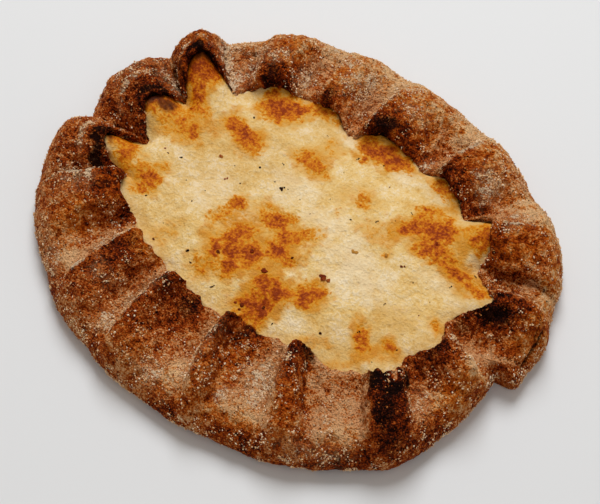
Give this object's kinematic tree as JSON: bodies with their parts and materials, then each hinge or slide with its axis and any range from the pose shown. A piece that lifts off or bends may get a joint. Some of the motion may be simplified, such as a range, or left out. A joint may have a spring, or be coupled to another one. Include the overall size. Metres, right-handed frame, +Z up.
{
  "type": "karelian pasty",
  "caption": "Oval open pasty: a thin rye crust crimped into pleats round a mouth filled with browned rice porridge.",
  "frame": {"origin": "middle of the footprint's box, on the surface that the pasty rests on", "axes": "+X along the oval's long axis towards the end with the doubled edge, +Z up out of the open mouth"},
  "size_m": [0.1272, 0.1074, 0.017],
  "materials": {
    "rye_crust": "dry baked rye dough, browned and floured",
    "rice_filling": "baked rice porridge, satin, with golden brown patches"
  },
  "bodies": {
    "root": {"crust": "rye_crust", "filling": "rice_filling"}
  },
  "joints": []
}
